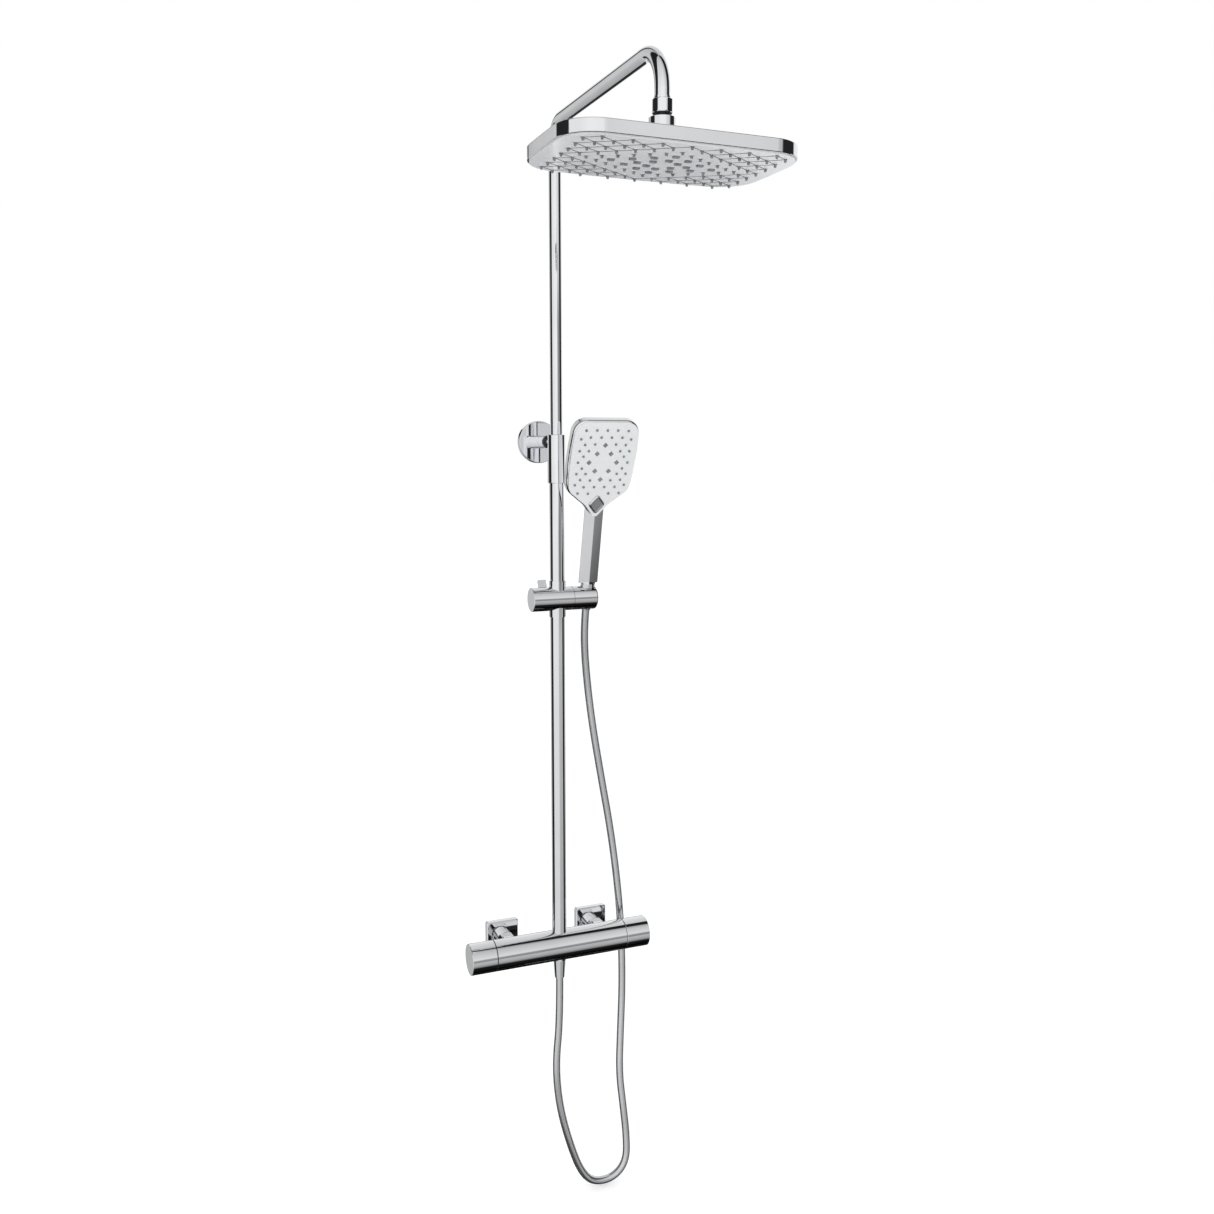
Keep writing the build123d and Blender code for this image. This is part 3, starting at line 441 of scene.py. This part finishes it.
def head_lines():
    """Thin lines printed between neighbouring nozzles of the net."""
    rule = Rule("head_net_lines", {**NET_SIZES, "Line Width": LINE_WIDTH})
    lean = atan2(PITCH_Y, PITCH_X)
    wide = rule.math("MULTIPLY", rule.size("Pitch X"), LINES_EACH_WAY - 1.0)
    deep = rule.math("MULTIPLY", rule.size("Pitch Y"), LINES_EACH_WAY - 1.0)
    every = rule.grid(wide, deep, LINES_EACH_WAY, LINES_EACH_WAY)
    middles = rule.keep(every, rule.outside_lozenge(FIRST_LINE))
    x, y, _ = rule.place()
    column = rule.math("FLOOR", rule.math("DIVIDE", x, rule.size("Pitch X")))
    row = rule.math("FLOOR", rule.math("DIVIDE", y, rule.size("Pitch Y")))
    parity = rule.math("FLOORED_MODULO", rule.math("ADD", column, row), 2.0)
    angle = rule.math("MULTIPLY", rule.math("SUBTRACT", rule.math("MULTIPLY", parity, 2.0), 1.0), lean)
    turn = rule.node("ShaderNodeCombineXYZ", 0.0, 0.0, angle).outputs[0]
    length = hypot(PITCH_X, PITCH_Y) - LINE_GAP
    size = rule.node("ShaderNodeCombineXYZ", length, rule.size("Line Width"), LINE_THICKNESS)
    strip = rule.node("GeometryNodeMeshCube", size.outputs[0]).outputs["Mesh"]
    points = rule.on_dome(middles, rule.size("Dome Depth"))
    place = Matrix.Translation((HEAD_X, HEAD_Y, PLATE_EDGE - LINE_DROP))
    strips = rule.scatter(points, strip, turn)
    rule.finish(strips, finishes["grey_print"], "overhead", "nozzle_silicone", place)


head_tips()
head_lines()


# ---------------------------------------------------------------- selector button

FACE_TILT = radians(22.5)
FACE_ORIGIN = (0.047, -0.13109, 0.74453)
SELECTOR = {"y": -0.066, "half_width": 0.013, "half_height": 0.016, "round": 0.004}
# The button's profile, from its foot: how far in from the edge, how high above the face.
SELECTOR_PROFILE = [
    (0.0, -0.004), (0.0, 0.0006), (0.0004, 0.001), (0.0017, 0.0017), (0.0025, 0.0017),
    (0.0028, 0.0012), (0.0037, 0.0012),
]


def on_face(x, y, z):
    """A point of the hand shower's face: right, up the face and out of it."""
    return (
        FACE_ORIGIN[0] + x,
        FACE_ORIGIN[1] - y * sin(FACE_TILT) - z * cos(FACE_TILT),
        FACE_ORIGIN[2] + y * cos(FACE_TILT) - z * sin(FACE_TILT),
    )


def lozenge_ring(inset, steps=6):
    """Points round a lozenge with round corners, drawn in by an inset."""
    a, b, r = SELECTOR["half_width"], SELECTOR["half_height"], SELECTOR["round"] - inset
    side = hypot(a, b)
    across, up = a - inset * side / b, b - inset * side / a
    lean = atan2(a, b)
    right, top = across - r * side / b, up - r * side / a
    ring = []
    for corner, (cx, cy) in enumerate(((right, 0.0), (0.0, top), (-right, 0.0), (0.0, -top))):
        half = lean if corner % 2 == 0 else pi / 2 - lean
        middle = corner * pi / 2
        for k in range(steps + 1):
            turn = middle - half + 2 * half * k / steps
            ring.append((cx + r * cos(turn), cy + r * sin(turn)))
    return ring


def make_selector():
    """Push button with a bright bevelled frame round a grey centre."""
    vertices, faces = [], []
    for inset, height in SELECTOR_PROFILE:
        for x, y in lozenge_ring(inset):
            vertices.append(on_face(x, y + SELECTOR["y"], height))
    count = len(vertices) // len(SELECTOR_PROFILE)
    for level in range(len(SELECTOR_PROFILE) - 1):
        for k in range(count):
            a, b = level * count + k, level * count + (k + 1) % count
            faces.append((a, b, b + count, a + count))
    faces.append(tuple(range((len(SELECTOR_PROFILE) - 1) * count, len(SELECTOR_PROFILE) * count)))
    faces.append(tuple(reversed(range(count))))
    mesh = bpy.data.meshes.new("selector_face")
    mesh.from_pydata(vertices, [], faces)
    mesh.materials.append(finishes["chromed_plastic"])
    mesh.materials.append(finishes["satin_inlay"])
    centre_start = (len(SELECTOR_PROFILE) - 2) * count
    for polygon in mesh.polygons[centre_start : len(faces) - 1]:
        polygon.material_index = 1
    button = bpy.data.objects.new("selector_face", mesh)
    bpy.context.collection.objects.link(button)
    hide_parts("selector_button")
    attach(button, "selector")


make_selector()


# ---------------------------------------------------------------- studio

FLOOR_REACH, FLOOR_GAP = 40.0, 0.004


def add_floor():
    """A wide pale floor under the hanging loop."""
    mesh = bpy.data.meshes.new("studio_floor")
    side, height = FLOOR_REACH, cad_box[0][2] - FLOOR_GAP
    corners = [(-side, -side, height), (side, -side, height), (side, side, height), (-side, side, height)]
    mesh.from_pydata(corners, [], [(0, 1, 2, 3)])
    floor = bpy.data.objects.new("studio_floor", mesh)
    bpy.context.collection.objects.link(floor)
    white = Finish("floor_white", (0.9, 0.9, 0.9), 0.9)
    white.colours(white.noise(3.0), (0.89, 0.89, 0.89), (0.92, 0.92, 0.92))
    white.shader.inputs["Emission Color"].default_value = (1.0, 1.0, 1.0, 1.0)
    white.shader.inputs["Emission Strength"].default_value = 0.35
    mesh.materials.append(white.material)
    floor.visible_glossy = False


# How bright the room is, by the compass angle from +X towards +Y, above and below the
# horizon, and by height from -1 to 1.
ROUND_ABOVE = [
    (-180.0, 0.9), (-150.0, 0.9), (-120.0, 1.0), (-84.0, 0.98), (-76.0, 0.80), (-56.0, 0.76), (-50.0, 0.55),
    (-46.0, 0.6), (-41.0, 0.02), (5.0, 0.02), (9.0, 0.95), (60.0, 0.95), (92.0, 0.85), (96.0, 0.03),
    (104.0, 0.03), (108.0, 0.62), (127.0, 0.7), (131.0, 0.02), (178.0, 0.02), (180.0, 0.3),
]
ROUND_BELOW = [
    (-180.0, 0.9), (-170.0, 0.95), (-96.0, 0.95), (-90.0, 0.62), (-45.0, 0.55), (-35.0, 0.66), (-31.0, 0.02),
    (6.0, 0.02), (10.0, 0.6), (59.0, 0.7), (63.0, 0.03), (79.0, 0.03), (82.0, 0.6), (127.0, 0.62),
    (131.0, 0.02), (176.0, 0.02), (179.0, 0.85), (180.0, 0.9),
]
FLOOR_TO_CEILING = [
    (-1.0, 0.01), (-0.74, 0.02), (-0.66, 0.4), (-0.5, 0.75), (-0.06, 1.0), (0.3, 1.0), (0.8, 0.8),
    (0.96, 0.7), (1.0, 0.5),
]
HORIZON = [(-1.0, 0.0), (-0.07, 0.0), (-0.03, 1.0), (1.0, 1.0)]
# A low grey screen to the right of the camera, at its own height.
SCREEN_ROUND = [(-180.0, 1.0), (-86.0, 1.0), (-82.0, 0.45), (-50.0, 0.36), (-46.0, 1.0), (180.0, 1.0)]
SCREEN_HIGH = [(-1.0, 0.0), (-0.16, 0.0), (-0.11, 1.0), (0.11, 1.0), (0.16, 0.0), (1.0, 0.0)]


def light_room():
    """White panels and dark gaps, seen only in reflections, with even light for matt things."""
    world = bpy.data.worlds.new("studio")
    bpy.context.scene.world = world
    world.use_nodes = True
    tree = world.node_tree
    tree.nodes.clear()
    out = tree.nodes.new("ShaderNodeOutputWorld")
    path = tree.nodes.new("ShaderNodeLightPath")

    def background(grey, strength=1.0):
        node = tree.nodes.new("ShaderNodeBackground")
        node.inputs["Color"].default_value = (grey, grey, grey, 1.0)
        node.inputs["Strength"].default_value = strength
        return node

    def choose(fac, first, second):
        mix = tree.nodes.new("ShaderNodeMixShader")
        tree.links.new(fac, mix.inputs["Fac"])
        tree.links.new(first.outputs[0], mix.inputs[1])
        tree.links.new(second.outputs[0], mix.inputs[2])
        return mix

    def ramp(source, low, high, stops):
        share = tree.nodes.new("ShaderNodeMapRange")
        share.inputs["From Min"].default_value = low
        share.inputs["From Max"].default_value = high
        tree.links.new(source, share.inputs["Value"])
        node = tree.nodes.new("ShaderNodeValToRGB")
        elements = node.color_ramp.elements
        while len(elements) < len(stops):
            elements.new(0.5)
        for element, (place, grey) in zip(elements, stops):
            element.position = (place - low) / (high - low)
            element.color = (grey, grey, grey, 1.0)
        tree.links.new(share.outputs["Result"], node.inputs["Fac"])
        return node.outputs["Color"]

    def mixed(kind, share, first, second):
        node = tree.nodes.new("ShaderNodeMix")
        node.data_type = "RGBA"
        node.blend_type = kind
        if share is None:
            node.inputs["Factor"].default_value = 1.0
        else:
            tree.links.new(share, node.inputs["Factor"])
        tree.links.new(first, node.inputs[6])
        tree.links.new(second, node.inputs[7])
        return node.outputs[2]

    split = tree.nodes.new("ShaderNodeSeparateXYZ")
    tree.links.new(tree.nodes.new("ShaderNodeTexCoord").outputs["Generated"], split.inputs["Vector"])
    turn = tree.nodes.new("ShaderNodeMath")
    turn.operation = "ARCTAN2"
    tree.links.new(split.outputs["Y"], turn.inputs[0])
    tree.links.new(split.outputs["X"], turn.inputs[1])
    degrees_round = tree.nodes.new("ShaderNodeMath")
    degrees_round.operation = "MULTIPLY"
    degrees_round.inputs[1].default_value = 180.0 / pi
    tree.links.new(turn.outputs["Value"], degrees_round.inputs[0])
    above = ramp(degrees_round.outputs["Value"], -180.0, 180.0, ROUND_ABOVE)
    below = ramp(degrees_round.outputs["Value"], -180.0, 180.0, ROUND_BELOW)
    around = mixed("MIX", ramp(split.outputs["Z"], -1.0, 1.0, HORIZON), below, above)
    upward = ramp(split.outputs["Z"], -1.0, 1.0, FLOOR_TO_CEILING)
    plain = tree.nodes.new("ShaderNodeRGB").outputs[0]
    plain.default_value = (1.0, 1.0, 1.0, 1.0)
    screen_round = ramp(degrees_round.outputs["Value"], -180.0, 180.0, SCREEN_ROUND)
    screen = mixed("MIX", ramp(split.outputs["Z"], -1.0, 1.0, SCREEN_HIGH), plain, screen_round)
    around = mixed("MULTIPLY", None, around, screen)
    room = background(1.0)
    tree.links.new(mixed("MULTIPLY", None, around, upward), room.inputs["Color"])
    matt = choose(path.outputs["Is Diffuse Ray"], room, background(0.85))
    seen = choose(path.outputs["Is Camera Ray"], matt, background(1.0))
    tree.links.new(seen.outputs["Shader"], out.inputs["Surface"])


def add_light(name, place, target, size, energy):
    data = bpy.data.lights.new(name, "AREA")
    data.shape = "RECTANGLE"
    data.size, data.size_y = size
    data.energy = energy
    lamp = bpy.data.objects.new(name, data)
    lamp.location = place
    lamp.rotation_euler = (Vector(target) - Vector(place)).to_track_quat("-Z", "Y").to_euler()
    lamp.visible_glossy = False
    bpy.context.collection.objects.link(lamp)


add_floor()
light_room()
add_light("key_panel", (-1.2, -2.2, 2.8), (0.0, -0.2, 0.6), (1.6, 1.6), 8.0)
bpy.context.scene.view_settings.view_transform = "Standard"

bpy.context.view_layer.update()
